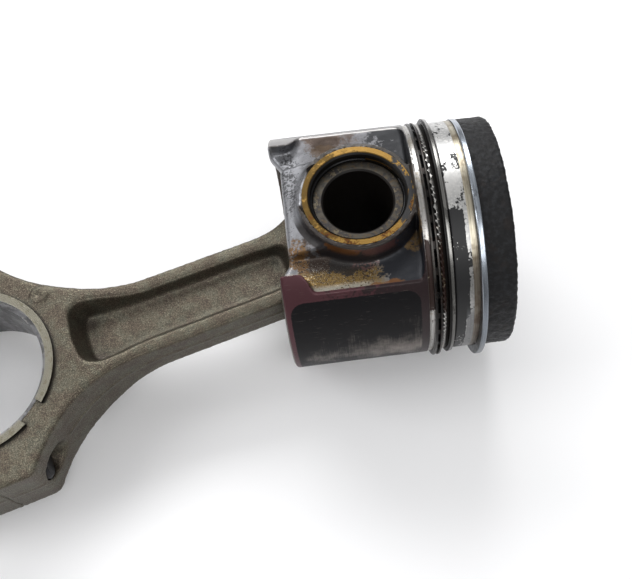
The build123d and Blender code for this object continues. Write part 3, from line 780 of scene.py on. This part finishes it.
def bronze_finish():
    """Fine-turned bush bronze, varnished brown and black where the oil baked on."""
    s = Surface("bush_bronze", PISTON, "#a3834a", 1.0, 0.32)
    out = (s.x * s.x + s.y * s.y).maths("SQRT")
    lines = s.noise(0.16, 2, 0.5, at=s.joined(out, 0.0, 0.0))
    fine = s.noise(1.1, 3, 0.6, seed=5)
    patch = s.noise(4.5, 4, 0.65, seed=4) + (fine - 0.5) * 0.4
    s.raise_by(lines * 0.03)
    s.paint(lines.above(0.45, 0.3) * 0.5, "#6f5123", 1.0, 0.36)
    s.paint((patch - s.x * 0.010).above(0.6, 0.14) * 0.85, "#4a3b20", 0.95, 0.36)
    s.paint((patch + s.y * -0.005).above(0.66, 0.12) * 0.8, "#5c3514", 0.8, 0.32)
    s.paint((patch + s.y * -0.004).above(0.74, 0.06) * 0.9, "#2f1a0c", 0.6, 0.34)
    black = (s.x - 19.5 + (patch - 0.5) * 8).above(0, 1.2) * s.y.above(-20, 6)
    s.paint(black * (patch + out.above(27.9, 0.3) * 0.12).below(0.62, 0.05), "#2b2b2c", 0.5, 0.4)
    # painted shade: the bush's bore wall made near black
    s.paint(out.below(25.3, 0.4), "#0f0d0b", 0.4, 0.34)
    return s.done()


def pin_finish():
    """Ground steel, browned by oil."""
    s = Surface("pin_steel", PISTON, "#4c4841", 0.8, 0.4)
    out = (s.x * s.x + s.y * s.y).maths("SQRT")
    cloud = s.noise(7, 4, 0.62, seed=1)
    s.paint(cloud.above(0.5, 0.16) * 0.8, "#27262a", 0.7, 0.46)
    s.paint(s.noise(2.4, 4, 0.6, seed=3).above(0.56, 0.1) * 0.6, "#55462f", 0.6, 0.38)
    s.paint((cloud * 0.6 + s.noise(1.1, 3, 0.6, seed=5) * 0.5).above(0.64, 0.06), "#6b6353", 0.9, 0.34)
    # painted shade: the pin's bore made near black
    s.paint(out.below(19.2, 0.5), "#171310", 0.4, 0.46)
    s.raise_by(s.noise(0.8, 3, 0.6, seed=6) * 0.03)
    return s.done()


def wire_finish(name="oiled_spring_steel", base="#1b1b1c", shine=0.22):
    s = Surface(name, PISTON, base, 0.9, shine)
    s.paint(s.noise(3, 3, 0.6).above(0.52, 0.2) * 0.6, "#0b0a0a", 0.6, 0.32)
    s.raise_by(s.noise(0.7, 2, 0.5, seed=2) * 0.01)
    return s.done()


def carbon_finish():
    """Baked carbon: matt black with a faint shine on its lumps."""
    s = Surface("baked_carbon", PISTON, "#0b0b0d", 0.0, 0.55)
    s.paint(1.0, gloss=0.25)
    lumps = s.noise(2.6, 5, 0.65, seed=2)
    s.paint(lumps.above(0.54, 0.15) * 0.8, "#1d1e21", 0.1, 0.44)
    s.paint(s.noise(9, 4, 0.6, seed=4).above(0.6, 0.15) * 0.5, "#1f1815", 0.0, 0.6)
    s.raise_by(s.noise(0.8, 4, 0.7, seed=3) * 0.25 + lumps * 0.3)
    return s.done()


def forging_finish():
    """Shot-peened forged steel, brown-grey with oil, and bright machined crankpin faces."""
    s = Surface("rod_forging", ROD, "#5a5549", 0.8, 0.4)
    broad = s.noise(26, 4, 0.6)
    speck = s.noise(0.55, 3, 0.72, seed=3)
    tint = s.noise(7, 4, 0.65, seed=5)
    s.shade(broad, 0.6, 1.25)
    s.paint(tint.above(0.52, 0.16) * 0.55, "#43342c", 0.6, 0.44)
    s.paint(tint.below(0.42, 0.12) * 0.4, "#5b5c52", 0.8, 0.4)
    s.paint(speck.above(0.54, 0.1) * 0.55, "#1d1915", 0.5, 0.5)
    s.paint(speck.below(0.42, 0.08) * 0.5, "#8b8472", 0.95, 0.34)
    s.raise_by(s.cells(0.7, seed=1) * 0.09 + speck * 0.08)
    # painted shade: darkened in the forging's hollows and along the pocket edges
    s.paint(s.hollow(12).below(0.7, 0.55) * 0.9, "#0f0c0a", 0.4, 0.5)
    out = (s.x * s.x + s.y * s.y).maths("SQRT")
    faced = abs(s.z).above(22.3, 0.1) * out.below(44.9, 0.2)
    s.paint(faced, "#767368", 1.0, 0.34)
    lay = s.noise(0.3, 2, 0.5, seed=7, at=s.joined(out, 0.0, 0.0))
    s.paint(faced * lay.above(0.5, 0.2) * 0.4, "#4f4c43", 1.0, 0.38)
    s.paint(faced * s.noise(3, 4, 0.6, seed=8).above(0.58, 0.06) * 0.5, "#55503f", 0.9, 0.4)
    s.paint(out.below(40.75, 0.1), "#77756f", 0.95, 0.28)
    return s.done()


def shell_finish():
    """Plated bearing metal, polished by the crankpin."""
    s = Surface("shell_overlay", ROD, "#6e6e70", 0.9, 0.28)
    s.paint(s.noise(5, 4, 0.6, stretch=(1, 1, 0.3)).above(0.5, 0.2) * 0.6, "#343231", 0.8, 0.36)
    s.paint(s.noise(0.6, 2, 0.6, stretch=(0.1, 0.1, 1)).above(0.62, 0.1) * 0.5, "#a09e9b", 0.95, 0.24)
    return s.done()


def bolt_finish():
    """Black phosphate, rubbed bright in small flecks."""
    s = Surface("bolt_phosphate", ROD, "#1c1c1f", 0.6, 0.46)
    s.paint(s.noise(0.6, 3, 0.6).above(0.6, 0.1) * 0.6, "#3f3d3a", 0.8, 0.38)
    s.paint(s.noise(6, 4, 0.6, seed=2).above(0.56, 0.1) * 0.5, "#2b221b", 0.5, 0.46)
    s.raise_by(s.noise(0.5, 2, 0.5, seed=4) * 0.03)
    return s.done()


cast, bronze, wire, forged, shell = (piston_finish(), bronze_finish(), wire_finish(), forging_finish(),
                                     shell_finish())
finishes = {
    "piston_body": cast, "piston_skirt": cast, "piston_ring_belt": cast, "crown_carbon": carbon_finish(),
    "ring_carrier": carrier_finish(), "top_compression_ring": top_ring_finish(),
    "second_compression_ring": second_ring_finish(), "oil_control_ring": oil_ring_finish(),
    "oil_ring_expander": wire, "expander_coil": wire_finish("coil_wire", "#161618", 0.5),
    "expander_latch_wire": wire, "circlip_front": wire, "circlip_rear": wire,
    "gudgeon_pin": pin_finish(), "pin_boss_bush_front": bronze, "pin_boss_bush_rear": bronze,
    "small_end_bush": bronze, "connecting_rod": forged, "rod_forging": forged, "rod_cap": forged,
    "cap_forging": forged, "bearing_shell_upper": shell, "bearing_shell_lower": shell,
    "cap_bolts": bolt_finish(),
}
for name, piece in (*nodes.items(), *pieces.items()):
    piece.data.materials.clear()
    piece.data.materials.append(finishes[name])

# ---------------------------------------------------------------- floor, light and camera


floor = add_mesh("floor", [(-6, -6, 0), (6, -6, 0), (6, 6, 0), (-6, 6, 0)], [(0, 1, 2, 3)])
floor_surface = bpy.data.materials.new("floor_pale")
floor_surface.use_nodes = True
floor_shader = floor_surface.node_tree.nodes["Principled BSDF"]
floor_shader.inputs["Base Color"].default_value = (0.93, 0.93, 0.94, 1)
floor_shader.inputs["Roughness"].default_value = 0.85
floor.data.materials.append(floor_surface)


def softbox(name, place, aim, width, height, power, colour=(1, 1, 1)):
    light = bpy.data.lights.new(name, "AREA")
    light.shape = "RECTANGLE"
    light.size, light.size_y, light.energy, light.color = width, height, power, colour
    lamp = bpy.data.objects.new(name, light)
    lamp.location = place
    lamp.rotation_mode = "QUATERNION"
    lamp.rotation_quaternion = (Vector(aim) - Vector(place)).to_track_quat("-Z", "Y")
    bpy.context.scene.collection.objects.link(lamp)


middle = (cad_box[0] + cad_box[1]) / 2
softbox("key_behind", middle + Vector((-0.2, 1.15, 0.95)), middle, 1.4, 0.6, 19)
softbox("fill_left", middle + Vector((-1.1, 0.1, 1.0)), middle, 0.7, 0.7, 7)
softbox("fill_front", middle + Vector((0.2, -0.9, 1.3)), middle, 1.0, 0.8, 8)

world = bpy.data.worlds.new("studio")
bpy.context.scene.world = world
world.use_nodes = True
sky = world.node_tree.nodes["Background"]
sky.inputs["Strength"].default_value = 0.55
way = world.node_tree.nodes.new("ShaderNodeTexCoord")
parts = world.node_tree.nodes.new("ShaderNodeSeparateXYZ")
shade = world.node_tree.nodes.new("ShaderNodeMapRange")
world.node_tree.links.new(way.outputs["Generated"], parts.inputs[0])
world.node_tree.links.new(parts.outputs["Z"], shade.inputs["Value"])
shade.inputs["From Min"].default_value, shade.inputs["From Max"].default_value = 0.0, 0.9
shade.inputs["To Min"].default_value, shade.inputs["To Max"].default_value = 0.5, 1.0
world.node_tree.links.new(shade.outputs["Result"], sky.inputs["Color"])

camera_data = bpy.data.cameras.new("camera")
camera_data.sensor_width = 36
camera_data.lens = 47.942
camera_data.shift_x = -0.1013
camera = bpy.data.objects.new("camera", camera_data)
bpy.context.scene.collection.objects.link(camera)
bpy.context.scene.camera = camera
turn = PISTON.to_quaternion().to_matrix()
back = turn @ -Vector((0.045388, 0.403487, -0.913859)).normalized()
right = (turn @ Vector((0.122303, 0.905675, 0.405948))).cross(back).normalized()
camera.matrix_world = Matrix.Translation(PISTON @ Vector((-13.97, -216.09, 424.67))) @ Matrix(
    (right, back.cross(right), back)).transposed().to_4x4()

bpy.context.scene.view_settings.view_transform = "Standard"
